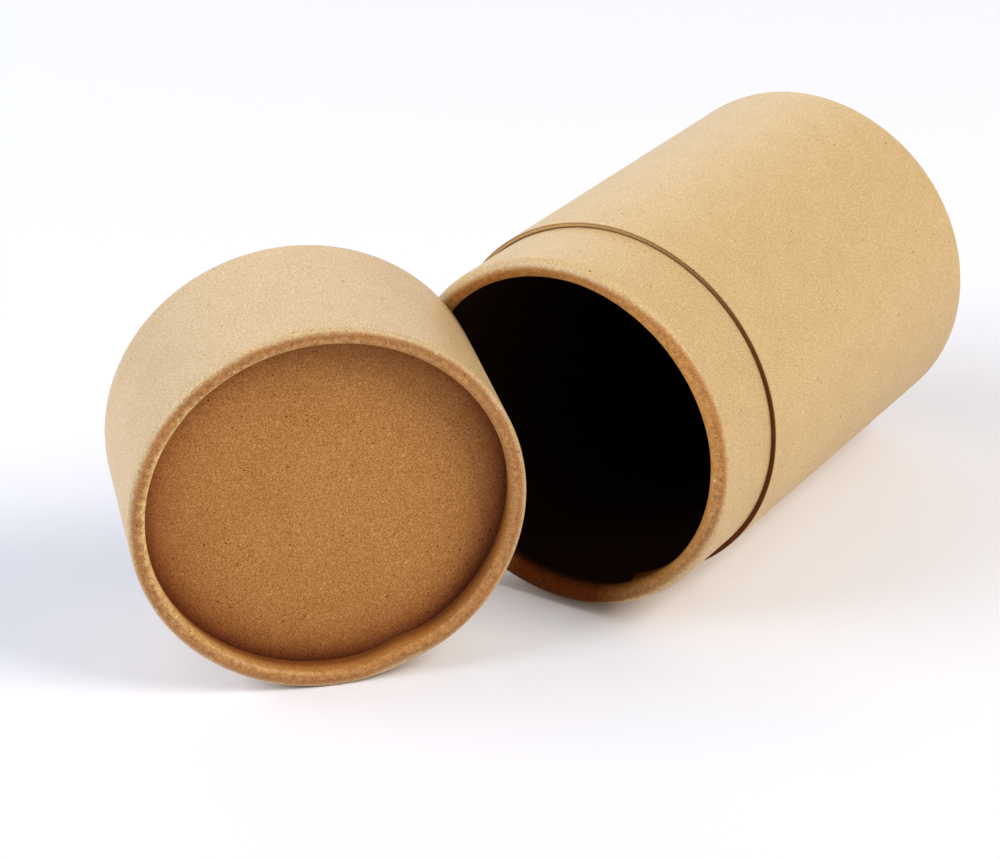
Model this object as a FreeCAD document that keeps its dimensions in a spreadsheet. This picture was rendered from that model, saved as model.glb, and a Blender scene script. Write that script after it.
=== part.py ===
import FreeCAD, Part
import math
import os

import Sketcher

# A kraft paper tube with a slip lid: a wound body with a neck, and the lid that was taken off it.
# Both lie on their sides on the ground, Z = 0, and the lid leans with its open edge in the mouth.
# The tube's axis runs along +Y, from its mouth to its foot. Sizes are in millimetres and degrees.

# Sizes that are set by hand: name, value, what it is.
DRIVING = [
    ("outer_dia", 73.0, "outside diameter of the body and of the lid"),
    ("outer_wall", 0.95, "wall of the outer tube"),
    ("liner_wall", 1.3, "wall of the inner tube, which stands out as the neck"),
    ("glue_line", 0.05, "glue between two layers, on the radius"),
    ("slip_gap", 0.15, "clearance between the neck and the lid, on the radius"),
    ("body_length", 84.5, "outer tube, from its cut edge to its foot"),
    ("neck_length", 18.3, "neck, from the outer tube's cut edge to the front of the lip"),
    ("lid_length", 38.2, "lid, from the front of its rim to its cut edge"),
    ("lip_bend", 0.6, "inside radius of the lip, where the inner tube is rolled in"),
    ("lip_depth", 5.2, "depth that the lip's rolled-in end reaches"),
    ("lip_tail_gap", 0.35, "space between that end and the wall"),
    ("rim_corner", 0.3, "inside radius of a rim's outer bend"),
    ("rim_bend", 0.25, "inside radius of a rim's inner bend"),
    ("rim_core", 1.5, "hollow inside a rolled rim, on the radius"),
    ("rim_tail_gap", 0.9, "space between a rim's rolled-in end and the wall"),
    ("disc_recess", 5.8, "depth of a disc below the rim around it"),
    ("disc_board", 1.5, "thickness of a disc"),
    ("lid_angle", 45.0, "angle between the lid's axis and the tube's axis"),
    ("lid_offset", 20.3, "from the tube's axis to the part of the lid's edge deepest in the mouth"),
    ("edge_slope", 65.0, "angle from the tube's axis at which the lid's edge crosses the lip"),
    ("lean_gap", 0.1, "clearance between the lid's edge and the lip"),
]

# Sizes that follow from them: name, formula, what it is.
DERIVED = [
    ("outer_radius", "outer_dia / 2", "outside of the body and of the lid"),
    ("neck_radius", "outer_radius - outer_wall - glue_line", "outside of the inner tube"),
    ("bore_radius", "neck_radius - liner_wall", "inside of the inner tube"),
    ("lid_bore", "neck_radius + slip_gap", "inside of the lid"),
    ("lid_wall", "outer_radius - lid_bore", "wall of the lid"),
    ("tube_length", "neck_length + body_length", "from the front of the lip to the foot"),
    ("liner_length", "tube_length - disc_recess - disc_board", "inner tube, up to the base disc"),
    ("lip_round", "liner_wall + lip_bend", "outside radius of the rolled lip"),
    ("lip_crest", "neck_radius - lip_round", "radius at which the lip stands out furthest"),
    ("mouth_radius", "neck_radius - 2 * lip_round", "the hole that the lip leaves"),
    # The lip's rolled-in end curves back from the hole to the wall.
    ("lip_return", "2 * lip_bend - lip_tail_gap", "how far it comes back, on the radius"),
    (
        "lip_curve",
        "(lip_return ^ 2 + (lip_depth - lip_round) ^ 2) / (2 * lip_return)",
        "radius of that curve",
    ),
    # The lid's open edge is a circle that crosses the rounded lip above and below the lid's middle.
    (
        "touch_radius",
        "mouth_radius + lip_round * (1 - tan(45 - edge_slope / 2)) - lean_gap / cos(edge_slope)",
        "where it crosses the plane of the lip's front",
    ),
    ("edge_lever", "lid_offset * cos(lid_angle) + outer_radius", "lever of that circle"),
    (
        "edge_reach",
        "(edge_lever"
        " - sqrt(edge_lever ^ 2 - sin(lid_angle) ^ 2 * (touch_radius ^ 2 - lid_offset ^ 2)))"
        " / sin(lid_angle)",
        "how far it reaches into the mouth",
    ),
    # The middle of the lid's closed end, from the middle of the mouth.
    (
        "lid_across",
        "lid_length * sin(lid_angle) - outer_radius * cos(lid_angle) - lid_offset",
        "across the tube",
    ),
    (
        "lid_along",
        "edge_reach - outer_radius * sin(lid_angle) - lid_length * cos(lid_angle)",
        "along the tube",
    ),
    # The origin lies on the ground in the middle of the whole: where it is from the mouth's middle.
    ("rim_round", "lid_wall + rim_corner", "outside radius of the lid's rim"),
    (
        "origin_across",
        "(outer_radius - lid_offset - outer_dia * cos(lid_angle)) / 2",
        "halfway from the lid's open edge to the far side of the body",
    ),
    (
        "origin_along",
        "(tube_length + lid_along - outer_radius * sin(lid_angle)"
        " - rim_round * (1 - sin(lid_angle) - cos(lid_angle))) / 2",
        "halfway from the lid's rim to the foot",
    ),
    ("tube_x", "-origin_across", "middle of the mouth"),
    ("tube_y", "-origin_along", "middle of the mouth"),
    ("lid_x", "lid_across - origin_across", "middle of the lid's closed end"),
    ("lid_y", "lid_along - origin_along", "middle of the lid's closed end"),
]

doc = FreeCAD.newDocument("kraft_paper_tube")
sheet = doc.addObject("Spreadsheet::Sheet", "Sizes")
for row, (name, value, meaning) in enumerate(DRIVING + DERIVED, start=1):
    sheet.set(f"A{row}", meaning)
    sheet.set(f"B{row}", f"={value}" if isinstance(value, str) else str(value))
    sheet.setAlias(f"B{row}", name)
doc.recompute()

NAMES = {name for name, value, meaning in DRIVING + DERIVED}


def bound(formula):
    """The formula, with each size in it bound to its cell. Spaces set the names apart."""
    return " ".join(f"Sizes.{word}" if word in NAMES else word for word in formula.split())


def point(radius, along):
    """A point of a section, from the formulas of its distance from the axis and along it."""
    return FreeCAD.Vector(*(sheet.evalExpression(bound(text)) for text in (radius, along)), 0)


def sketch_on(body, role):
    """A sketch on one of the body's own origin planes."""
    plane = next(feature for feature in body.Origin.OriginFeatures if feature.Role == role)
    sketch = body.newObject("Sketcher::SketchObject", f"{body.Label}_sketch")
    sketch.AttachmentSupport = (plane, "")
    sketch.MapMode = "FlatFace"
    return sketch


def dimension(sketch, formula, *constraint):
    """A dimension that is bound to the sheet."""
    number = sketch.addConstraint(Sketcher.Constraint(*constraint))
    sketch.setExpression(f"Constraints[{number}]", bound(formula))


def add_edge(sketch, start, end, centre):
    """A straight edge, or the short arc about centre, as (its number, its end at start and at end)."""
    if centre is None:
        return sketch.addGeometry(Part.LineSegment(start, end), False), 1, 2
    first, last = (math.atan2(*(tip - centre)[1::-1]) for tip in (start, end))
    circle = Part.Circle(centre, FreeCAD.Vector(0, 0, 1), (start - centre).Length)
    if (last - first) % (2 * math.pi) < math.pi:
        return sketch.addGeometry(Part.ArcOfCircle(circle, first, last), False), 1, 2
    return sketch.addGeometry(Part.ArcOfCircle(circle, last, first), False), 2, 1


def turned(label, outline):
    """A body turned about its own Y axis from a closed section.

    Each row of the outline is a corner, by its formulas (radius, along). A row that goes on with
    the formulas of a centre starts an arc about it. The other rows start a straight edge.
    """
    body = doc.addObject("PartDesign::Body", label)
    sketch = sketch_on(body, "XY_Plane")
    corners = [point(*row[:2]) for row in outline]
    edges = []
    for row, start, end in zip(outline, corners, corners[1:] + corners[:1]):
        edges.append(add_edge(sketch, start, end, point(*row[2:]) if len(row) == 4 else None))
    for row, edge, before in zip(outline, edges, edges[-1:] + edges[:-1]):
        number, head, tail = edge
        sketch.addConstraint(Sketcher.Constraint("Coincident", before[0], before[2], number, head))
        dimension(sketch, row[0], "DistanceX", number, head, point(*row[:2]).x)
        dimension(sketch, row[1], "DistanceY", number, head, point(*row[:2]).y)
        if len(row) == 4:
            dimension(sketch, row[2], "DistanceX", number, 3, point(*row[2:]).x)
    turn = body.newObject("PartDesign::Revolution", f"{label}_turn")
    turn.Profile = sketch
    turn.ReferenceAxis = (sketch, ["V_Axis"])
    turn.Angle = 360
    body.Tip = turn
    return body


def punched_disc(label, radius, along):
    """A round board disc across the axis, its near face at along."""
    body = doc.addObject("PartDesign::Body", label)
    sketch = sketch_on(body, "XZ_Plane")
    sketch.setExpression("AttachmentOffset.Base.z", bound(f"- ( {along} )"))
    circle = Part.Circle(FreeCAD.Vector(0, 0, 0), FreeCAD.Vector(0, 0, 1), point(radius, "0").x)
    sketch.addGeometry(circle, False)
    sketch.addConstraint(Sketcher.Constraint("Coincident", 0, 3, -1, 1))
    dimension(sketch, radius, "Radius", 0, point(radius, "0").x)
    pad = body.newObject("PartDesign::Pad", f"{label}_pad")
    pad.Profile = sketch
    pad.Reversed = True
    pad.setExpression("Length", bound("disc_board"))
    body.Tip = pad
    return body


def rolled_rim(wall, front, inward):
    """The section of a wall whose end is rolled in over a disc, from its outside to its inside."""
    outer = f"( {wall} + rim_corner )"
    inner = f"( {wall} + rim_bend )"
    hole = f"( outer_radius - 2 * {wall} - rim_core )"
    back = "( rim_core - rim_tail_gap )"
    curve = f"( ( {back} ^ 2 + ( disc_recess - {inner} ) ^ 2 ) / ( 2 * {back} ) )"

    def deep(depth):
        return f"{front} {inward} {depth}"

    outer_centre = (f"outer_radius - {outer}", deep(outer))
    inner_centre = (f"{hole} + {inner}", deep(inner))
    return [
        ("outer_radius", deep(outer), *outer_centre),
        (f"outer_radius - {outer}", front),
        (f"{hole} + {inner}", front, *inner_centre),
        (hole, deep(inner), f"{hole} + {curve}", deep(inner)),
        (f"{hole} + {back}", deep("disc_recess")),
        (f"{hole} + {back} + {wall}", deep("disc_recess"), f"{hole} + {wall} + {curve}", deep(inner)),
        (f"{hole} + {wall}", deep(inner), *inner_centre),
        (f"{hole} + {inner}", deep(wall)),
        (f"outer_radius - {outer}", deep(wall), *outer_centre),
        (f"outer_radius - {wall}", deep(outer)),
    ]


# Inner tube: wound board, glued into the outer tube. Its mouth end stands out as the neck that the
# lid slides over, and is rolled in to a round lip. Its other end stands on the base disc.
lip_centre = ("lip_crest", "lip_round")
inner_tube = turned(
    "inner_tube",
    [
        ("neck_radius", "liner_length"),
        ("neck_radius", "lip_round", *lip_centre),
        ("lip_crest", "0", *lip_centre),
        ("mouth_radius", "lip_round", "mouth_radius + lip_curve", "lip_round"),
        ("mouth_radius + lip_return", "lip_depth"),
        (
            "mouth_radius + lip_return + liner_wall",
            "lip_depth",
            "mouth_radius + liner_wall + lip_curve",
            "lip_round",
        ),
        ("mouth_radius + liner_wall", "lip_round", *lip_centre),
        ("lip_crest", "liner_wall", *lip_centre),
        ("bore_radius", "lip_round"),
        ("bore_radius", "liner_length"),
    ],
)

# Outer tube: the smooth kraft wall. Its mouth end is cut square and leaves the neck free, and its
# foot is rolled in over the base disc.
outer_tube = turned(
    "outer_tube",
    [
        ("outer_radius", "neck_length"),
        *rolled_rim("outer_wall", "tube_length", "-"),
        ("outer_radius - outer_wall", "neck_length"),
    ],
)

# Base disc: board, held between the rolled foot and the end of the inner tube.
base_disc = punched_disc("base_disc", "outer_radius - outer_wall - glue_line", "liner_length")

# Lid shell: a wall that slips over the neck, cut square at its open end and rolled in at the other.
lid_shell = turned(
    "lid_shell",
    [
        ("outer_radius", "lid_length"),
        *rolled_rim("lid_wall", "0", "+"),
        ("lid_bore", "lid_length"),
    ],
)

# Lid disc: board, glued in behind the lid's rolled rim.
lid_disc = punched_disc("lid_disc", "lid_bore - glue_line", "disc_recess")

# The tube's pieces share one axis along +Y, and the lid's share the axis that leans on the mouth.
# Both are as high as their radius, so they lie on the ground.
for body in (inner_tube, outer_tube, base_disc):
    body.setExpression("Placement.Base.x", bound("tube_x"))
    body.setExpression("Placement.Base.y", bound("tube_y"))
for body in (lid_shell, lid_disc):
    body.setExpression("Placement.Base.x", bound("lid_x"))
    body.setExpression("Placement.Base.y", bound("lid_y"))
    body.setExpression("Placement.Rotation.Angle", bound("lid_angle"))
pieces = [inner_tube, outer_tube, base_disc, lid_shell, lid_disc]
for body in pieces:
    body.setExpression("Placement.Base.z", bound("outer_radius"))
doc.recompute()

for item in doc.Objects:
    if {"Invalid", "Error"} & set(item.State):
        raise RuntimeError(f"{item.Label} was not made: {item.State}")
for body in pieces:
    if body.Shape.isNull() or not body.Shape.isValid() or len(body.Shape.Solids) != 1:
        raise RuntimeError(f"{body.Label} is not one sound solid")

os.makedirs("parts", exist_ok=True)
for body in pieces:
    body.Shape.exportStep(f"parts/{body.Label}.step")
    print(body.Label, round(body.Shape.Volume), "mm3", body.Shape.BoundBox)
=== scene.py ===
import math

import bmesh
import bpy
from mathutils import Matrix, Vector


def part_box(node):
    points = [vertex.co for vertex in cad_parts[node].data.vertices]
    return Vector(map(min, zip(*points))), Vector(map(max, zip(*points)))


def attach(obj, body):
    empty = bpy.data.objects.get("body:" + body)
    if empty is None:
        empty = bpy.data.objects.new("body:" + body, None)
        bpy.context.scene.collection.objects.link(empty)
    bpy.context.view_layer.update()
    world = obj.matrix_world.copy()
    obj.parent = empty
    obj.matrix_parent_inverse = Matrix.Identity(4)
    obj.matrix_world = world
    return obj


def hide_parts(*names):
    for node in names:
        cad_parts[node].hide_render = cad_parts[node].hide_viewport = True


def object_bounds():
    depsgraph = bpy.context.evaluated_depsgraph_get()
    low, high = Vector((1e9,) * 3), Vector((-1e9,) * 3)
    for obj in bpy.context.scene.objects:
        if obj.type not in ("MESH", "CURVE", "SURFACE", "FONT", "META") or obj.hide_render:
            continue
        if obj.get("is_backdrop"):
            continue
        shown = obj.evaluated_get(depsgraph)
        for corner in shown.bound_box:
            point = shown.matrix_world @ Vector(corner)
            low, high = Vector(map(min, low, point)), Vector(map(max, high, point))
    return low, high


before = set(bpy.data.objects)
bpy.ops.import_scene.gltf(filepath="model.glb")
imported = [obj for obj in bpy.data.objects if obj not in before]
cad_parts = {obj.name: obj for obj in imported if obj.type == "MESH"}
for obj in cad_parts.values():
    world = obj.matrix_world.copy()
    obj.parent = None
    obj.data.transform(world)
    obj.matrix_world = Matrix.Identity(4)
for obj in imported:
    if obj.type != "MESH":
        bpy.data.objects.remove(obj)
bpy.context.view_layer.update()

# Outer tube: smooth brown kraft paper wound over board, 0.95 mm thick. It is glued over the inner
# tube and cut square, so that its raw two-ply edge shows round the neck. The foot is rolled in over
# the base disc.
MM = 0.001
outer_low, outer_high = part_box("outer_tube")
inner_low, inner_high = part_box("inner_tube")
tube_radius = (outer_high.x - outer_low.x) / 2 / MM
tube_length = (outer_high.y - inner_low.y) / MM
neck_length = (outer_low.y - inner_low.y) / MM
tube_place = Matrix.Translation((
    (outer_low.x + outer_high.x) / 2,
    inner_low.y,
    (outer_low.z + outer_high.z) / 2,
)) @ Matrix.Scale(MM, 4)
outer_wall = 0.95
# The roll's two bends have these radii on their insides, and its free end reaches down to the disc.
outer_bend, inner_bend = 0.3, 0.25
recess_depth = 5.8
# The cut edge is rounded on the outside and a little worn on the inside, and it darkens the wall for
# a short way below it.
edge_round = 0.12
edge_worn = 0.02
fringe = 0.35


def straight(start, end, steps):
    """Points of a straight piece of a section, without its last point."""
    return [
        tuple(a + (b - a) * step / steps for a, b in zip(start, end)) for step in range(steps)
    ]


def bend(centre, radius, first, last, steps):
    """Points of a bend of a section, with both ends. Angles in degrees."""
    turns = [math.radians(first + (last - first) * step / steps) for step in range(steps + 1)]
    return [(centre[0] + radius * math.cos(t), centre[1] + radius * math.sin(t)) for t in turns]


def rolled_end(wall, front, inward):
    """The section of a wall's end that is rolled in over a disc, from the outside to the inside.

    The free end leans back a little on its way down to the disc. Each point is (radius, along, how
    far the paper has gone since the roll began).
    """
    outer, inner = wall + outer_bend, wall + inner_bend
    hollow = 1.5
    hole = tube_radius - 2 * wall - hollow
    lean = 0.6
    curve = (lean ** 2 + (recess_depth - inner) ** 2) / (2 * lean)
    sweep = math.degrees(math.asin((recess_depth - inner) / curve))
    shape = bend((tube_radius - outer, outer), outer, 0, -90, 10)
    shape += straight((tube_radius - outer, 0), (hole + inner, 0), 3)[1:]
    shape += bend((hole + inner, inner), inner, -90, -180, 10)
    shape += bend((hole + curve, inner), curve, 180, 180 - sweep, 8)[1:]
    shape += bend((hole + wall + curve, inner), curve, 180 - sweep, 180, 4)
    shape += bend((hole + inner, inner), inner_bend, 180, 270, 3)[1:]
    shape += bend((tube_radius - outer, outer), outer_bend, 270, 360, 3)
    gone = 0.0
    rows = []
    for number, (radius, along) in enumerate(shape):
        if number:
            gone += math.dist(shape[number - 1], shape[number])
        rows.append((radius, front + inward * along, gone))
    return rows


def section(name, rows):
    """A closed section as a mesh outline. Each row is (radius, along, roll, cut, tail, inside, line).

    Roll is how far the paper has gone since the roll began. The others run from 0 to 1: cut on a raw
    edge, tail towards the lip's free end, inside on the dark inside, line where the cut is darkest.
    """
    area = sum(a[0] * b[1] - b[0] * a[1] for a, b in zip(rows, rows[1:] + rows[:1]))
    if area > 0:
        rows = rows[::-1]
    mesh = bpy.data.meshes.new(name)
    points = [(row[0], row[1], 0) for row in rows]
    mesh.from_pydata(points, [(i, (i + 1) % len(rows)) for i in range(len(rows))], [])
    for column, label in enumerate(("roll", "cut", "tail", "inside", "line"), start=2):
        layer = mesh.attributes.new(label, "FLOAT", "POINT")
        layer.data.foreach_set("value", [row[column] if column < len(row) else 0.0 for row in rows])
    return bpy.data.objects.new(name, mesh)


def node_makers(tree):
    """Two functions that add a math node or a vector math node to a tree and link its values."""
    def link_values(node, operation, values):
        node.operation = operation
        for socket, value in zip(node.inputs, values):
            if isinstance(value, (int, float, tuple)):
                socket.default_value = value
            else:
                tree.links.new(value, socket)
        return node

    def math_node(operation, *values):
        return link_values(tree.nodes.new("ShaderNodeMath"), operation, values).outputs[0]

    def vector_node(operation, *values):
        return link_values(tree.nodes.new("ShaderNodeVectorMath"), operation, values)

    return math_node, vector_node


def turned_board():
    """Geometry Nodes that turn a section about the axis and roughen it as rolled board is."""
    tree = bpy.data.node_groups.new("turned_board", "GeometryNodeTree")
    sockets = (
        ("Section", "NodeSocketGeometry", None),
        ("Guide Radius", "NodeSocketFloat", 34.0),
        ("Steps Around", "NodeSocketInt", 480),
        ("Crimps Around", "NodeSocketFloat", 190.0),
        ("Crimp Depth", "NodeSocketFloat", 0.03),
        ("Waves Around", "NodeSocketFloat", 9.0),
        ("Wave Depth", "NodeSocketFloat", 0.15),
        ("Wall Waves", "NodeSocketFloat", 0.05),
        ("Ragged Depth", "NodeSocketFloat", 0.08),
        ("Flat Angle", "NodeSocketFloat", 0.0),
        ("Flat Width", "NodeSocketFloat", 0.1),
        ("Flat Depth", "NodeSocketFloat", 0.0),
        ("Ply End Angle", "NodeSocketFloat", 0.0),
        ("Ply Taper", "NodeSocketFloat", 0.5),
        ("Ply Depth", "NodeSocketFloat", 0.0),
        ("Brown Start", "NodeSocketFloat", 1.3),
        ("Brown Wander", "NodeSocketFloat", 1.2),
        ("Brown Reach Angle", "NodeSocketFloat", 0.0),
        ("Brown Reach Width", "NodeSocketFloat", 0.6),
        ("Brown Reach", "NodeSocketFloat", 0.0),
        ("Burnt Angle", "NodeSocketFloat", 0.0),
        ("Burnt Width", "NodeSocketFloat", 0.01),
        ("Burnt Reach", "NodeSocketFloat", 0.0),
        ("Burnt Amount", "NodeSocketFloat", 0.0),
        ("Pale Ring Angle", "NodeSocketFloat", 0.0),
        ("Pale Ring Width", "NodeSocketFloat", 0.01),
        ("Seed", "NodeSocketFloat", 1.0),
        ("Material", "NodeSocketMaterial", None),
    )
    for label, kind, value in sockets:
        socket = tree.interface.new_socket(label, in_out="INPUT", socket_type=kind)
        if value is not None:
            socket.default_value = value
    tree.interface.new_socket("Board", in_out="OUTPUT", socket_type="NodeSocketGeometry")
    nodes, links = tree.nodes, tree.links
    given = nodes.new("NodeGroupInput").outputs
    math_node, vector_node = node_makers(tree)

    def scaled(vector, amount):
        node = vector_node("SCALE", vector)
        links.new(amount, node.inputs["Scale"])
        return node.outputs[0]

    def attribute(label):
        node = nodes.new("GeometryNodeInputNamedAttribute")
        node.data_type = "FLOAT"
        node.inputs["Name"].default_value = label
        return node.outputs["Attribute"]

    def soft_noise(vector, detail, seed):
        node = nodes.new("ShaderNodeTexNoise")
        node.noise_dimensions = "4D"
        node.inputs["Scale"].default_value = 1.0
        node.inputs["Detail"].default_value = detail
        links.new(vector, node.inputs["Vector"])
        if isinstance(seed, float):
            node.inputs["W"].default_value = seed
        else:
            links.new(seed, node.inputs["W"])
        return node.outputs[0]

    def past_angle(start):
        return math_node("WRAP", math_node("SUBTRACT", angle, start), math.pi, -math.pi)

    def bell(centre, width):
        near = math_node("DIVIDE", past_angle(centre), width)
        return math_node("EXPONENT", math_node("MULTIPLY", math_node("MULTIPLY", near, near), -1.0))

    def store(label, value, geometry):
        node = nodes.new("GeometryNodeStoreNamedAttribute")
        node.data_type = "FLOAT"
        node.inputs["Name"].default_value = label
        links.new(value, node.inputs["Value"])
        links.new(geometry, node.inputs["Geometry"])
        return node.outputs[0]

    curve = nodes.new("GeometryNodeMeshToCurve")
    links.new(given["Section"], curve.inputs["Mesh"])
    ring = nodes.new("GeometryNodeCurvePrimitiveCircle")
    links.new(given["Steps Around"], ring.inputs["Resolution"])
    links.new(given["Guide Radius"], ring.inputs["Radius"])
    sweep = nodes.new("GeometryNodeCurveToMesh")
    links.new(ring.outputs["Curve"], sweep.inputs["Curve"])
    links.new(curve.outputs["Curve"], sweep.inputs["Profile Curve"])
    stand = nodes.new("GeometryNodeTransform")
    stand.inputs["Rotation"].default_value = (math.pi / 2, 0, 0)
    flip = nodes.new("GeometryNodeFlipFaces")
    links.new(sweep.outputs["Mesh"], flip.inputs["Mesh"])
    links.new(flip.outputs["Mesh"], stand.inputs["Geometry"])

    # Where each point is: how far round, and the direction away from the axis.
    place = nodes.new("GeometryNodeInputPosition").outputs[0]
    split = nodes.new("ShaderNodeSeparateXYZ")
    links.new(place, split.inputs[0])
    away = vector_node("NORMALIZE", vector_node("MULTIPLY", place, (1, 0, 1)).outputs[0]).outputs[0]
    angle = math_node("ARCTAN2", split.outputs["Z"], split.outputs["X"])

    def round_pattern(count, along, detail, seed=given["Seed"]):
        turns = scaled(away, math_node("DIVIDE", count, 2 * math.pi))
        drift = nodes.new("ShaderNodeCombineXYZ")
        links.new(math_node("MULTIPLY", split.outputs["Y"], along), drift.inputs["Y"])
        return soft_noise(vector_node("ADD", turns, drift.outputs[0]).outputs[0], detail, seed)

    # Crimps, waves and ragged cuts only ever sink into the board.
    roll = attribute("roll")
    rolled = math_node("MINIMUM", roll, 1.0)
    crimp = math_node("MULTIPLY", round_pattern(given["Crimps Around"], 0.3, 1.0), given["Crimp Depth"])
    swell = math_node("SUBTRACT", round_pattern(given["Waves Around"], 0.06, 1.0), 0.4)
    wave = math_node("MULTIPLY", math_node("MAXIMUM", swell, 0.0), given["Wave Depth"])
    wall = math_node("MULTIPLY", round_pattern(9.0, 0.05, 1.0, 0.5), given["Wall Waves"])
    torn = math_node("MULTIPLY", round_pattern(300.0, 2.0, 2.0), attribute("cut"))
    ragged = math_node("MULTIPLY", torn, given["Ragged Depth"])
    rolled_in = math_node("MULTIPLY", math_node("ADD", crimp, wave), rolled)
    sunk = math_node("ADD", rolled_in, math_node("ADD", wall, ragged))
    normal = nodes.new("GeometryNodeInputNormal").outputs[0]
    dent = scaled(normal, math_node("MULTIPLY", sunk, -1.0))

    # A flat that was pressed into the roll, and the free end of the innermost ply.
    pressing = math_node("MULTIPLY", bell(given["Flat Angle"], given["Flat Width"]), given["Flat Depth"])
    flat = math_node("MULTIPLY", pressing, rolled)
    past = past_angle(given["Ply End Angle"])
    share = math_node("SUBTRACT", 1.0, math_node("DIVIDE", past, given["Ply Taper"]))
    begun = math_node("GREATER_THAN", past, 0.0)
    standing = math_node("MULTIPLY", math_node("MAXIMUM", share, 0.0), begun)
    ply = math_node("MULTIPLY", standing, math_node("MULTIPLY", given["Ply Depth"], attribute("tail")))
    pressed = scaled(away, math_node("MULTIPLY", math_node("ADD", flat, ply), -1.0))

    # How far past the line where the roll has browned the paper. The line wanders round the roll, and
    # comes further out in one stretch and in the dark patch, which is partly burnt paper and partly
    # painted shadow.
    unsteady = math_node("SUBTRACT", round_pattern(14.0, 0.0, 2.0), 0.5)
    wander = math_node("MULTIPLY", unsteady, given["Brown Wander"])
    stretch = bell(given["Brown Reach Angle"], given["Brown Reach Width"])
    reach = math_node("MULTIPLY", stretch, given["Brown Reach"])
    scorch_and_shadow = bell(given["Burnt Angle"], given["Burnt Width"])
    further = math_node("MULTIPLY", scorch_and_shadow, given["Burnt Reach"])
    start = math_node("ADD", given["Brown Start"], wander)
    line = math_node("SUBTRACT", start, math_node("ADD", reach, further))
    board = store("browning", math_node("SUBTRACT", roll, line), stand.outputs[0])
    # The dark patch, partly burnt paper and partly painted shadow, sets in 0.6 mm past the start of the
    # roll.
    set_in = math_node("MINIMUM", math_node("MAXIMUM", math_node("SUBTRACT", roll, 0.6), 0.0), 1.0)
    burnt_shadow = math_node("MULTIPLY", math_node("MULTIPLY", scorch_and_shadow, set_in), given["Burnt Amount"])
    board = store("burnt_shadow", burnt_shadow, board)
    # Where the inner side of the roll and the cut's core are painted lighter, a painted light that peaks
    # at one angle round, and where the ply's free end stands up by a third of a millimetre or more.
    board = store("pale", bell(given["Pale Ring Angle"], given["Pale Ring Width"]), board)
    board = store("flap", math_node("MINIMUM", math_node("MULTIPLY", ply, 3.0), 1.0), board)

    move = nodes.new("GeometryNodeSetPosition")
    links.new(board, move.inputs["Geometry"])
    links.new(vector_node("ADD", dent, pressed).outputs[0], move.inputs["Offset"])
    real = nodes.new("GeometryNodeRealizeInstances")
    links.new(move.outputs[0], real.inputs[0])
    smooth = nodes.new("GeometryNodeSetShadeSmooth")
    links.new(real.outputs[0], smooth.inputs[0])
    finish = nodes.new("GeometryNodeSetMaterial")
    links.new(smooth.outputs[0], finish.inputs["Geometry"])
    links.new(given["Material"], finish.inputs["Material"])
    out = nodes.new("NodeGroupOutput")
    links.new(finish.outputs[0], out.inputs[0])
    return tree


board_tree = turned_board()


def turn(name, outline, place, material, **sizes):
    """The finished piece: the section turned, roughened, put in its place and made a plain mesh."""
    guide = 34.0
    tool = section(name + "_section", [(row[0] - guide, *row[1:]) for row in outline])
    bpy.context.scene.collection.objects.link(tool)
    maker = tool.modifiers.new("turn", "NODES")
    maker.node_group = board_tree
    given = {"Guide Radius": guide, "Material": material}
    given.update({label.replace("_", " ").title(): value for label, value in sizes.items()})
    for item in board_tree.interface.items_tree:
        if item.in_out == "INPUT" and item.name in given:
            maker[item.identifier] = given[item.name]
    tool.update_tag()
    graph = bpy.context.evaluated_depsgraph_get()
    mesh = bpy.data.meshes.new_from_object(tool.evaluated_get(graph), depsgraph=graph)
    tool.modifiers.remove(maker)
    bpy.data.objects.remove(tool)
    mesh.transform(place)
    work = bmesh.new()
    work.from_mesh(mesh)
    if work.calc_volume(signed=True) < 0:
        bmesh.ops.reverse_faces(work, faces=work.faces)
    work.to_mesh(mesh)
    work.free()
    mesh.name = name
    piece = bpy.data.objects.new(name, mesh)
    bpy.context.scene.collection.objects.link(piece)
    return piece


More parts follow.
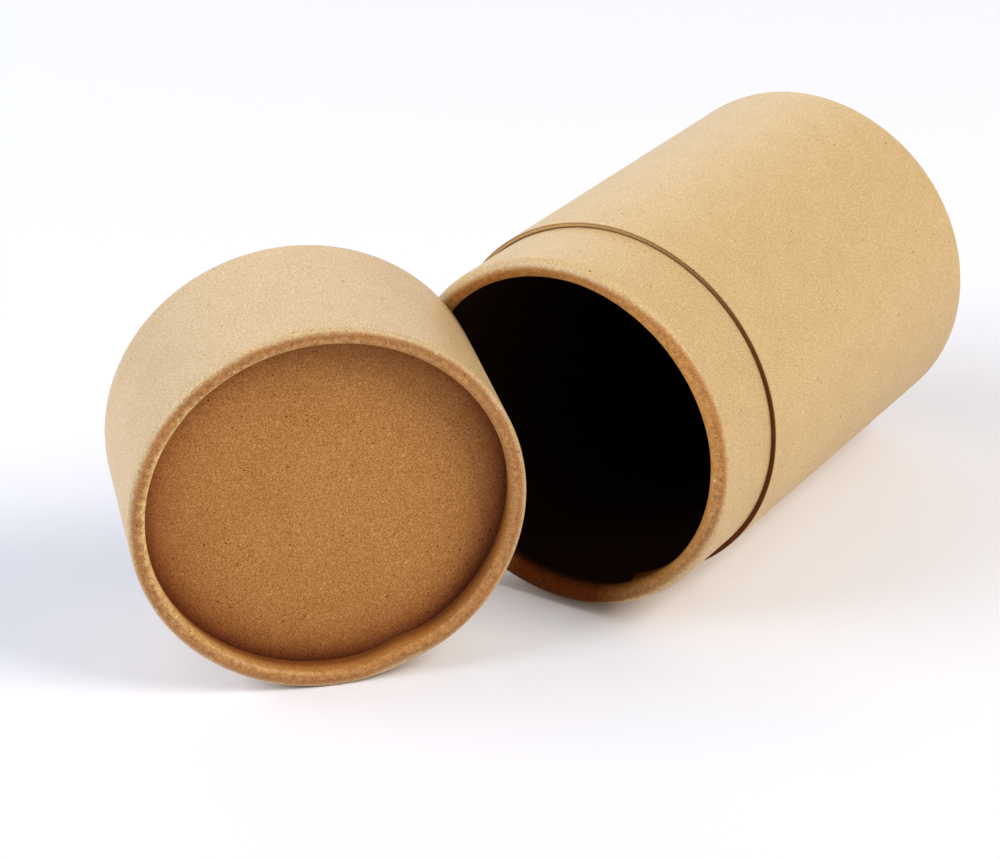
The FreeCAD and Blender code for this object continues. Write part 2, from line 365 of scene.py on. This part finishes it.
def kraft_fibres():
    """Shader nodes for the pulp of kraft paper: grain, clouds, pale fibres, and pale and dark flecks."""
    group = bpy.data.node_groups.new("kraft_fibres", "ShaderNodeTree")
    for label, value in (
        ("Grain Size", 0.2), ("Grain", 0.04), ("Mottling", 0.01), ("Clouds", 1.0), ("Streaks", 0.0),
        ("Fibres", 0.2), ("Flecks", 0.05), ("Fleck Tone", 0.3), ("Seed", 0.0), ("Mottle", 0.0),
    ):
        socket = group.interface.new_socket(label, in_out="INPUT", socket_type="NodeSocketFloat")
        socket.default_value = value
    group.interface.new_socket("Lie", in_out="INPUT", socket_type="NodeSocketVector")
    group.interface.new_socket("Vector", in_out="INPUT", socket_type="NodeSocketVector")
    group.interface.new_socket("Tone", in_out="OUTPUT", socket_type="NodeSocketColor")
    group.interface.new_socket("Relief", in_out="OUTPUT", socket_type="NodeSocketFloat")
    nodes, links = group.nodes, group.links
    given = nodes.new("NodeGroupInput").outputs
    math_node, vector_node = node_makers(group)

    # The grain is drawn out along the way the fibres lie.
    along = vector_node("DOT_PRODUCT", given["Vector"], given["Lie"]).outputs["Value"]
    drawn = vector_node("SCALE", given["Lie"])
    links.new(math_node("MULTIPLY", along, given["Streaks"]), drawn.inputs["Scale"])
    lain = vector_node("SUBTRACT", given["Vector"], drawn.outputs[0]).outputs[0]

    def noise(scale, detail, offset):
        node = nodes.new("ShaderNodeTexNoise")
        node.noise_dimensions = "4D"
        node.inputs["Detail"].default_value = detail
        node.inputs["Roughness"].default_value = 0.6
        links.new(lain, node.inputs["Vector"])
        if isinstance(scale, (int, float)):
            node.inputs["Scale"].default_value = scale
        else:
            links.new(scale, node.inputs["Scale"])
        links.new(math_node("ADD", given["Seed"], offset), node.inputs["W"])
        return math_node("SUBTRACT", node.outputs[0], 0.5)

    grain = noise(math_node("DIVIDE", 1000.0, given["Grain Size"]), 2.0, 0.0)
    clouds = noise(140.0, 2.0, 3.7)
    # Pale fibres follow thin contour lines of a soft pattern, broken up by a second one.
    line = math_node("ABSOLUTE", noise(620.0, 1.0, 7.1))
    thin = math_node("SUBTRACT", 1.0, math_node("MINIMUM", math_node("DIVIDE", line, 0.02), 1.0))
    broken = math_node("GREATER_THAN", noise(900.0, 0.0, 11.3), 0.1)
    fibre = math_node("MULTIPLY", thin, broken)
    # Flecks are scattered grains, some pale and some dark.
    cells = nodes.new("ShaderNodeTexVoronoi")
    cells.inputs["Scale"].default_value = 720.0
    links.new(vector_node("ADD", given["Vector"], (0.37, 0.11, 0.53)).outputs[0], cells.inputs["Vector"])
    chance = nodes.new("ShaderNodeSeparateColor")
    links.new(cells.outputs["Color"], chance.inputs[0])
    size = math_node("ADD", 0.1, math_node("MULTIPLY", chance.outputs["Green"], 0.09))
    spot = math_node("LESS_THAN", cells.outputs["Distance"], size)
    dark = math_node("MULTIPLY", spot, math_node("LESS_THAN", chance.outputs["Red"], given["Flecks"]))
    lucky = math_node("ADD", chance.outputs["Red"], math_node("MULTIPLY", given["Flecks"], 0.7))
    pale = math_node("MULTIPLY", spot, math_node("GREATER_THAN", lucky, 1.0))

    grain_gain, cloud_gain, mottle_gain = 14.5, 2.3, 9.0
    soft_clouds = math_node("MULTIPLY", math_node("MULTIPLY", clouds, cloud_gain), given["Clouds"])
    strength = math_node("ADD", math_node("MULTIPLY", grain, grain_gain), soft_clouds)
    blotches = math_node("MULTIPLY", math_node("MULTIPLY", given["Mottle"], mottle_gain), given["Mottling"])
    change = math_node("ADD", math_node("MULTIPLY", strength, given["Grain"]), blotches)
    change = math_node("ADD", change, math_node("MULTIPLY", fibre, given["Fibres"]))
    change = math_node("ADD", change, math_node("MULTIPLY", pale, given["Fleck Tone"]))
    change = math_node("SUBTRACT", change, math_node("MULTIPLY", dark, 0.6))
    # Paler grains are also less yellow, and darker ones redder.
    spread = vector_node("SCALE", (0.78, 1.0, 1.6))
    links.new(change, spread.inputs["Scale"])
    unclipped = vector_node("ADD", spread.outputs[0], (1.0, 1.0, 1.0)).outputs[0]
    tone = vector_node("MAXIMUM", unclipped, (0.15, 0.1, 0.05))
    raised = math_node("ADD", grain, math_node("MULTIPLY", fibre, 0.5))
    relief = math_node("SUBTRACT", raised, math_node("MULTIPLY", dark, 0.5))
    out = nodes.new("NodeGroupOutput")
    links.new(tone.outputs[0], out.inputs["Tone"])
    links.new(relief, out.inputs["Relief"])
    return group


fibre_group = kraft_fibres()


def kraft(name, wall, rolled, edge, seed, dark=(0.028, 0.012, 0.005), deepest=(0.88, 0.77, 0.63),
          paler=(1.15, 1.12, 1.05), painted_light_share=(1.5, 2.2, 3.4), pale_edge=(0.63, 0.395, 0.165), grain=0.155,
          rolled_grain=0.2, mottling=0.003, rolled_mottling=0.15, clouds=0.5, relief=0.00003, roughness=0.5,
          shine=0.5, shade=None):
    """Kraft paper, browned past the line where the roll begins and dark where it is cut.

    The browning is deepest just past its line and pales again further on, with painted light on the
    side where the pale mask is set, and darkens once more deep inside in painted shade. Deepest,
    paler and the painted light's tone are shares of the rolled colour. Shade is a node group that
    gives a last colour to multiply by.
    """
    material = bpy.data.materials.new(name)
    material.use_nodes = True
    nodes, links = material.node_tree.nodes, material.node_tree.links
    paper = nodes["Principled BSDF"]
    paper.inputs["Roughness"].default_value = roughness
    where = nodes.new("ShaderNodeTexCoord").outputs["Object"]
    math_node, _ = node_makers(material.node_tree)
    fibres = nodes.new("ShaderNodeGroup")
    fibres.node_tree = fibre_group
    fibres.inputs["Seed"].default_value = seed
    fibres.inputs["Clouds"].default_value = clouds
    links.new(where, fibres.inputs["Vector"])

    def attribute(label):
        node = nodes.new("ShaderNodeAttribute")
        node.attribute_name = label
        return node.outputs["Fac"]

    def blend(value, first, last, low=0.0, high=1.0):
        node = nodes.new("ShaderNodeMapRange")
        node.interpolation_type = "SMOOTHSTEP"
        links.new(value, node.inputs["Value"])
        for label, number in (("From Min", first), ("From Max", last), ("To Min", low), ("To Max", high)):
            node.inputs[label].default_value = number
        return node.outputs[0]

    # A Mix node set to colours takes its factor at input 0 and the two colours at inputs 6 and 7, and
    # gives its own colour at output 2.
    def mix(factor, first, second, way="MIX"):
        node = nodes.new("ShaderNodeMix")
        node.data_type = "RGBA"
        node.blend_type = way
        for number, value in ((0, factor), (6, first), (7, second)):
            socket = node.inputs[number]
            if isinstance(value, tuple):
                socket.default_value = (*value, 1)
            elif isinstance(value, float):
                socket.default_value = value
            else:
                links.new(value, socket)
        return node.outputs[2]

    # Blotches about a millimetre wide, which also break up the line where the browning begins.
    blotches = nodes.new("ShaderNodeTexNoise")
    blotches.noise_dimensions = "4D"
    blotches.inputs["W"].default_value = seed + 5.3
    blotches.inputs["Scale"].default_value = 1100.0
    blotches.inputs["Detail"].default_value = 2.0
    blotches.inputs["Roughness"].default_value = 0.6
    links.new(where, blotches.inputs["Vector"])
    mottle = math_node("SUBTRACT", blotches.outputs[0], 0.5)
    links.new(mottle, fibres.inputs["Mottle"])
    ragged = math_node("MULTIPLY_ADD", mottle, 2.1, attribute("browning"))
    browned = blend(ragged, -0.65, 0.65)
    links.new(blend(browned, 0, 1, grain, rolled_grain), fibres.inputs["Grain"])
    links.new(blend(browned, 0, 1, mottling, rolled_mottling), fibres.inputs["Mottling"])

    def share(amounts):
        return tuple(part * amount for part, amount in zip(rolled, amounts))

    # The inner side of the roll is paler. Where the pale mask is set, it is painted lighter still, as if
    # lit: painted light.
    inner = mix(attribute("pale"), share(paler), share(painted_light_share))
    past = mix(blend(ragged, 0.6, 1.5), share(deepest), rolled)
    past = mix(blend(ragged, 1.35, 2.3), past, inner)
    # Deep inside the roll, down towards the disc, the colour darkens: painted shade of the recess.
    past = mix(blend(ragged, 3.0, 6.5), past, share((0.5, 0.33, 0.23)))
    # The dark patch is partly burnt paper and partly painted shadow, where the lid shades the lip.
    past = mix(attribute("burnt_shadow"), past, share((0.32, 0.17, 0.13)))
    colour = mix(browned, wall, past)
    # The cut is dark, with a pale core of bare board that shows where the pale mask is set, on the lit
    # side: painted light.
    core = mix(attribute("pale"), edge, pale_edge)
    colour = mix(attribute("cut"), colour, mix(attribute("line"), core, edge))
    # Where the free end of the ply stands up into the mouth, it is less dark than the rest inside.
    bare = math_node("MULTIPLY_ADD", attribute("flap"), -0.5, attribute("inside"))
    colour = mix(blend(bare, 0, 1), colour, dark)

    toned = mix(1.0, colour, fibres.outputs["Tone"], "MULTIPLY")
    if shade:
        shaded = nodes.new("ShaderNodeGroup")
        shaded.node_tree = shade
        links.new(where, shaded.inputs["Vector"])
        toned = mix(1.0, toned, shaded.outputs["Shade"], "MULTIPLY")
    links.new(toned, paper.inputs["Base Color"])
    # Cut edges, the dark patch of burnt paper and painted shadow, and the dark inside have hardly any
    # shine. A disc has none of the three.
    paper.inputs["Specular IOR Level"].default_value = shine
    if not shade:
        darkened = math_node("MAXIMUM", attribute("inside"), attribute("burnt_shadow"))
        dull = math_node("MAXIMUM", attribute("cut"), darkened)
        links.new(blend(dull, 0, 1, shine, 0.05), paper.inputs["Specular IOR Level"])
    bump = nodes.new("ShaderNodeBump")
    bump.inputs["Strength"].default_value = 0.6
    bump.inputs["Distance"].default_value = relief
    links.new(fibres.outputs["Relief"], bump.inputs["Height"])
    links.new(bump.outputs[0], paper.inputs["Normal"])
    return material


def cut_end(inner, outer, along, outward):
    """The section of a square-cut end of two plies, from the inner face to the outer one.

    The cut is darkest at its inner edge, and darker at its outer edge than between. Each row is
    (radius, how far back, cut, line).
    """
    rows = [
        (inner, edge_worn, 1.0, 1.0),
        (inner + 0.05, 0.0, 1.0, 1.0),
        (inner + 0.14, 0.0, 1.0, 0.7),
        (inner + 0.3, 0.0, 1.0, 0.0),
        (outer - 0.34, 0.0, 1.0, 0.0),
        (outer - 0.22, 0.0, 1.0, 0.3),
    ]
    for step, cutness in enumerate((1.0, 1.0, 0.9, 0.75, 0.55)):
        tilt = math.radians(step * 22.5)
        rows.append((
            outer - edge_round + edge_round * math.sin(tilt),
            edge_round - edge_round * math.cos(tilt),
            cutness,
            0.5,
        ))
    rows.append((outer, edge_round + fringe, 0.0, 0.0))
    return [(radius, along - outward * back, 0, cutness, 0, 0, line) for radius, back, cutness, line in rows]


foot_rim = rolled_end(outer_wall, tube_length, -1)
roll_start = tube_length - outer_wall - outer_bend
cut = neck_length
inner_face = tube_radius - outer_wall
outline = [(r, a, 0, 0, 0, 0) for r, a in straight(
    (tube_radius, cut + edge_round + fringe), (tube_radius, roll_start), 30)[1:]]
outline += [(r, a, roll, 0, 0, 0) for r, a, roll in foot_rim]
outline += [(r, a, 0, 0, 0, 0) for r, a in straight(
    (inner_face, roll_start), (inner_face, cut + edge_worn), 4)[1:]]
outline += cut_end(inner_face, tube_radius, cut, -1)
wrap = kraft("kraft_wrap", (0.611, 0.420, 0.184), (0.431, 0.200, 0.048), (0.136, 0.039, 0.0095), 1.0)
# Round the top, the pale mask paints the cut's core and the roll's inner side lighter: painted light.
outer = turn("outer_wrap", outline, tube_place, wrap, steps_around=600, brown_start=1.35,
             pale_ring_angle=math.radians(110), pale_ring_width=math.radians(50), seed=3.0)
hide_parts("outer_tube")
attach(outer, "root")

# Inner tube: wound board glued inside the outer tube. Its end stands out as the neck that the lid
# slides over, and is curled in on itself to a round lip, which crimps and browns the paper. The
# curl's free end shows inside the mouth.
neck_radius = (inner_high.x - inner_low.x) / 2 / MM
liner_length = (inner_high.y - inner_low.y) / MM
liner_wall = 1.3
lip_bend = 0.6
lip_round = liner_wall + lip_bend
lip_turn = math.pi * lip_round
crest = neck_radius - lip_round
mouth = neck_radius - 2 * lip_round
tail_depth, tail_back = 5.2, 0.85
tail_curve = (tail_back ** 2 + (tail_depth - lip_round) ** 2) / (2 * tail_back)
tail_sweep = math.degrees(math.asin((tail_depth - lip_round) / tail_curve))
lip_steps, tail_steps, back_steps = 28, 8, 5
outline = [(r, a, 0, 0, 0, 0) for r, a in straight((neck_radius, liner_length), (neck_radius, cut), 3)]
outline += [(r, a, 0, 0, 0, 0) for r, a in straight((neck_radius, cut), (neck_radius, lip_round), 10)]
lip = bend((crest, lip_round), lip_round, 0, -180, lip_steps)
outline += [(r, a, lip_turn * k / lip_steps, 0, 0, 0) for k, (r, a) in enumerate(lip)]
# The lip's free end darkens over its first steps into the mouth. Its back and the bore are dark.
tail = bend((mouth + tail_curve, lip_round), tail_curve, 180, 180 - tail_sweep, tail_steps)[1:]
outline += [
    (r, a, lip_turn + k, 0, k / tail_steps, min(0.78, k / 4)) for k, (r, a) in enumerate(tail, start=1)
]
deep = lip_turn + tail_steps
tail_face = bend((mouth + liner_wall + tail_curve, lip_round), tail_curve, 180 - tail_sweep, 180, back_steps)
outline += [(r, a, deep, 0, 1 - k / back_steps, 1) for k, (r, a) in enumerate(tail_face)]
outline += [(r, a, deep, 0, 0, 1) for r, a in bend((crest, lip_round), lip_bend, 180, 360, 8)[1:]]
bore = neck_radius - liner_wall
outline += [(r, a, 0, 0, 0, 1) for r, a in straight((bore, lip_round), (bore, liner_length), 24)[1:]]
outline += [(bore, liner_length, 0, 0, 0, 1)]
liner = kraft("kraft_neck", (0.602, 0.414, 0.186), (0.468, 0.214, 0.048), (0.136, 0.039, 0.0095), 5.0)
# The dark patch at the lip's bottom is partly burnt paper and partly painted shadow of the lid.
inner = turn("inner_liner", outline, tube_place, liner, steps_around=600, wave_depth=0.5, brown_start=2.8,
             brown_wander=1.0, brown_reach_angle=math.radians(20), brown_reach_width=math.radians(52),
             brown_reach=2.2, burnt_angle=math.radians(-91), burnt_width=math.radians(26),
             burnt_reach=2.6, burnt_amount=1.4, ply_end_angle=math.radians(-62),
             ply_taper=math.radians(30), ply_depth=1.4, seed=8.0)
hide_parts("inner_tube")
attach(inner, "root")

# Lid: a wall of the same kraft board that slips over the neck with a little play. Its closed end is
# rolled in over a disc, as the foot is, and its open edge is cut square.
lid_low, lid_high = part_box("lid_shell")
lid_angle = math.radians(45)
lid_length = 38.2
lid_wall = 0.85
reach = tube_radius * MM * math.sin(lid_angle)
lid_axis = Vector((-math.sin(lid_angle), math.cos(lid_angle), 0))
open_end = Vector((lid_low.x + reach, lid_high.y - reach, (lid_low.z + lid_high.z) / 2))
lid_place = (
    Matrix.Translation(open_end - lid_axis * lid_length * MM)
    @ Matrix.Rotation(lid_angle, 4, "Z")
    @ Matrix.Scale(MM, 4)
)
lid_rim = rolled_end(lid_wall, 0, 1)
roll_start = lid_wall + outer_bend
lid_bore = tube_radius - lid_wall
outline = [(r, a, 0, 0, 0, 0) for r, a in straight(
    (tube_radius, lid_length - edge_round - fringe), (tube_radius, roll_start), 16)[1:]]
outline += [(r, a, roll, 0, 0, 0) for r, a, roll in lid_rim]
outline += [(r, a, 0, 0, 0, 0) for r, a in straight(
    (lid_bore, roll_start), (lid_bore, lid_length - edge_worn), 10)[1:]]
outline += cut_end(lid_bore, tube_radius, lid_length, 1)
lid_paper = kraft("kraft_lid", (0.598, 0.413, 0.202), (0.455, 0.208, 0.049), (0.136, 0.039, 0.0095), 9.0,
                  paler=(1.0, 0.96, 0.9), painted_light_share=(1.45, 2.15, 3.4), grain=0.19)
# On the lid's left side, the pale mask paints the roll's inner side lighter: painted light.
lid = turn("lid_wrap", outline, lid_place, lid_paper, steps_around=600, brown_start=1.38,
           brown_reach_angle=math.radians(-160), brown_reach_width=math.radians(40), brown_reach=0.35,
           flat_angle=math.radians(-68), flat_width=math.radians(9), flat_depth=0.8,
           pale_ring_angle=math.radians(160), pale_ring_width=math.radians(70), seed=12.0)
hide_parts("lid_shell")
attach(lid, "root")

# Discs: punched from brown board. One is glued in behind the lid's roll, and the other is held
# between the rolled foot and the end of the inner tube. The tube's inside is dark, and so is the side
# of that disc which faces it.
def recess_shade(name, middle, outward, radius, depth, back):
    """Shader nodes for how a disc in a recess darkens and reddens towards the wall round it.

    The wall hides the more of the light the nearer a place is to its foot. The disc's back is given a
    shade of its own.
    """
    group = bpy.data.node_groups.new(name, "ShaderNodeTree")
    for label, kind, value in (
        ("Radius", "NodeSocketFloat", radius),
        ("Depth", "NodeSocketFloat", depth),
        ("Middle", "NodeSocketVector", middle),
        ("Outward", "NodeSocketVector", outward),
        ("Vector", "NodeSocketVector", (0, 0, 0)),
    ):
        socket = group.interface.new_socket(label, in_out="INPUT", socket_type=kind)
        socket.default_value = value
    group.interface.new_socket("Shade", in_out="OUTPUT", socket_type="NodeSocketColor")
    nodes, links = group.nodes, group.links
    given = nodes.new("NodeGroupInput").outputs
    math_node, vector_node = node_makers(group)

    from_middle = vector_node("SUBTRACT", given["Vector"], given["Middle"]).outputs[0]
    rise = vector_node("DOT_PRODUCT", from_middle, given["Outward"]).outputs["Value"]
    straight_out = vector_node("SCALE", given["Outward"])
    links.new(rise, straight_out.inputs["Scale"])
    across = vector_node("LENGTH", vector_node("SUBTRACT", from_middle, straight_out.outputs[0]).outputs[0])
    gap = math_node("MAXIMUM", math_node("SUBTRACT", given["Radius"], across.outputs["Value"]), 0.00005)
    depth_squared = math_node("MULTIPLY", given["Depth"], given["Depth"])
    slant = math_node("SQRT", math_node("ADD", math_node("MULTIPLY", gap, gap), depth_squared))
    hidden = math_node("MULTIPLY", math_node("SUBTRACT", 1.0, math_node("DIVIDE", gap, slant)), 0.6)
    # One on the face and the upper part of the disc's edge, and nothing on its back.
    face = math_node("GREATER_THAN", rise, -0.0012)
    shade = nodes.new("ShaderNodeCombineColor")
    for label, power, part in (("Red", 1.4, back[0]), ("Green", 2.1, back[1]), ("Blue", 2.3, back[2])):
        front = math_node("POWER", math_node("SUBTRACT", 1.0, hidden), power)
        rest = math_node("MULTIPLY", math_node("SUBTRACT", 1.0, face), part)
        links.new(math_node("ADD", math_node("MULTIPLY", front, face), rest), shade.inputs[label])
    out = nodes.new("NodeGroupOutput")
    links.new(shade.outputs[0], out.inputs["Shade"])
    return group


foot_middle = (0.5 * (outer_low.x + outer_high.x), outer_high.y - recess_depth * MM, tube_radius * MM)
lid_middle = open_end - lid_axis * (lid_length - recess_depth) * MM
wall_round_disc = 33.9
wall_height = 4.2
for label, seed, middle, outward, back in (
    ("lid_disc", 15.0, lid_middle, -lid_axis, (1.0, 1.0, 1.0)),
    ("base_disc", 21.0, foot_middle, (0.0, 1.0, 0.0), (0.03, 0.035, 0.06)),
):
    brown = (0.497, 0.227, 0.062)
    even = (1.0, 1.0, 1.0)
    recess = recess_shade(
        "recess_" + label, middle, outward, wall_round_disc * MM, wall_height * MM, back)
    disc_board = kraft("board_" + label, brown, brown, brown, seed, deepest=even, paler=even, painted_light_share=even,
                       grain=0.23, rolled_grain=0.23, mottling=0.03, rolled_mottling=0.03, clouds=0.4,
                       relief=0.00005, roughness=0.85, shine=0.2, shade=recess)
    groups = [node for node in disc_board.node_tree.nodes if node.type == "GROUP"]
    fibres = next(node for node in groups if node.node_tree == fibre_group)
    fibres.inputs["Lie"].default_value = (0.58, 0.58, 0.57)
    fibres.inputs["Streaks"].default_value = 0.25
    fibres.inputs["Fibres"].default_value = 0.35
    fibres.inputs["Flecks"].default_value = 0.14
    fibres.inputs["Fleck Tone"].default_value = 0.5
    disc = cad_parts[label]
    disc.data.materials.clear()
    disc.data.materials.append(disc_board)

# Floor: a plain pale table that runs on past the view. What the view shows of it is lifted a little
# towards white, and it keeps the shadows. The lift fades out within a centimetre of a part, which
# paints the contact shadows there darker: painted shade.
floor_mesh = bpy.data.meshes.new("floor")
floor_mesh.from_pydata([(-4, -4, 0), (4, -4, 0), (4, 6, 0), (-4, 6, 0)], [], [(0, 1, 2, 3)])
floor = bpy.data.objects.new("floor", floor_mesh)
bpy.context.scene.collection.objects.link(floor)
table = bpy.data.materials.new("table_white")
table.use_nodes = True


def seen_directly(tree):
    """One for rays that come straight from the view or off a shiny surface, and nothing for the rest."""
    math_node, _ = node_makers(tree)
    path = tree.nodes.new("ShaderNodeLightPath").outputs
    shiny = math_node("MAXIMUM", path["Is Glossy Ray"], path["Is Transmission Ray"])
    return math_node("MAXIMUM", path["Is Camera Ray"], shiny)


def seen_as(tree, usual, seen, share, output):
    """Show one shader to the light and a share of the other to the view."""
    math_node, _ = node_makers(tree)
    part = math_node("MULTIPLY", seen_directly(tree), share)
    either = tree.nodes.new("ShaderNodeMixShader")
    tree.links.new(part, either.inputs[0])
    tree.links.new(usual.outputs[0], either.inputs[1])
    tree.links.new(seen.outputs[0], either.inputs[2])
    tree.links.new(either.outputs[0], output.inputs["Surface"])


table_nodes = table.node_tree.nodes
paint = table_nodes["Principled BSDF"]
paint.inputs["Base Color"].default_value = (0.925, 0.925, 0.97, 1)
paint.inputs["Roughness"].default_value = 0.9
glow = table_nodes.new("ShaderNodeEmission")
glow.inputs["Color"].default_value = (0.97, 0.98, 1, 1)
glow.inputs["Strength"].default_value = 1.0
# Within a centimetre of a part the lift fades out, a painted deepening of the contact shadows.
contact_shade_mask = table_nodes.new("ShaderNodeAmbientOcclusion")
contact_shade_mask.inputs["Distance"].default_value = 0.01
table_math, _ = node_makers(table.node_tree)
lift = table_math("MULTIPLY", contact_shade_mask.outputs["AO"], 0.22)
seen_as(table.node_tree, paint, glow, lift, table_nodes["Material Output"])
floor_mesh.materials.append(table)
floor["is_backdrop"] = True

# Light: a wide soft lamp overhead, cool windows in front and behind to the left, and a warmer lamp to
# the right, in a pale room.
room = bpy.data.worlds.new("room")
bpy.context.scene.world = room
room.use_nodes = True
room_nodes = room.node_tree.nodes
soft = room_nodes["Background"]
soft.inputs["Color"].default_value = (1, 1, 1, 1)
soft.inputs["Strength"].default_value = 0.005
white = room_nodes.new("ShaderNodeBackground")
white.inputs["Color"].default_value = (0.97, 0.98, 1, 1)
white.inputs["Strength"].default_value = 1.0
seen_as(room.node_tree, soft, white, 1.0, room_nodes["World Output"])
for label, spot, wide, high, power, tint in (
    ("overhead", (0.0, 0.0, 1.5), 2.6, 2.6, 7.5, (0.96, 1.0, 1.0)),
    ("front_window", (-1.15, -1.15, 1.1), 1.6, 1.0, 34.6, (0.808, 0.862, 1.0)),
    ("back_window", (-1.0, 1.05, 0.6), 2.0, 0.9, 6.9, (0.818, 0.847, 1.0)),
    ("right_lamp", (1.3, 0.15, 1.25), 0.8, 0.8, 25.2, (1.0, 0.929, 0.864)),
):
    lamp_data = bpy.data.lights.new(label, "AREA")
    lamp_data.shape = "RECTANGLE"
    lamp_data.size = wide
    lamp_data.size_y = high
    lamp_data.energy = power
    lamp_data.color = tint
    lamp = bpy.data.objects.new(label, lamp_data)
    lamp.location = spot
    lamp.rotation_euler = Vector(spot).to_track_quat("Z", "Y").to_euler()
    bpy.context.scene.collection.objects.link(lamp)

# Camera: a long lens, looking down on the mouth and the lid from the front right.
view_data = bpy.data.cameras.new("camera")
view_data.sensor_width = 36
view_data.lens = 108.04
view_data.clip_start = 0.01
view_data.clip_end = 20
view = bpy.data.objects.new("camera", view_data)
looking_down, turned_left = 0.46876, 0.56034
view.location = (0.27707, -0.44911, 0.29413)
view.rotation_euler = (math.pi / 2 - looking_down, 0, turned_left)
bpy.context.scene.collection.objects.link(view)
bpy.context.scene.camera = view
bpy.context.scene.view_settings.view_transform = "Standard"

low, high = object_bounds()
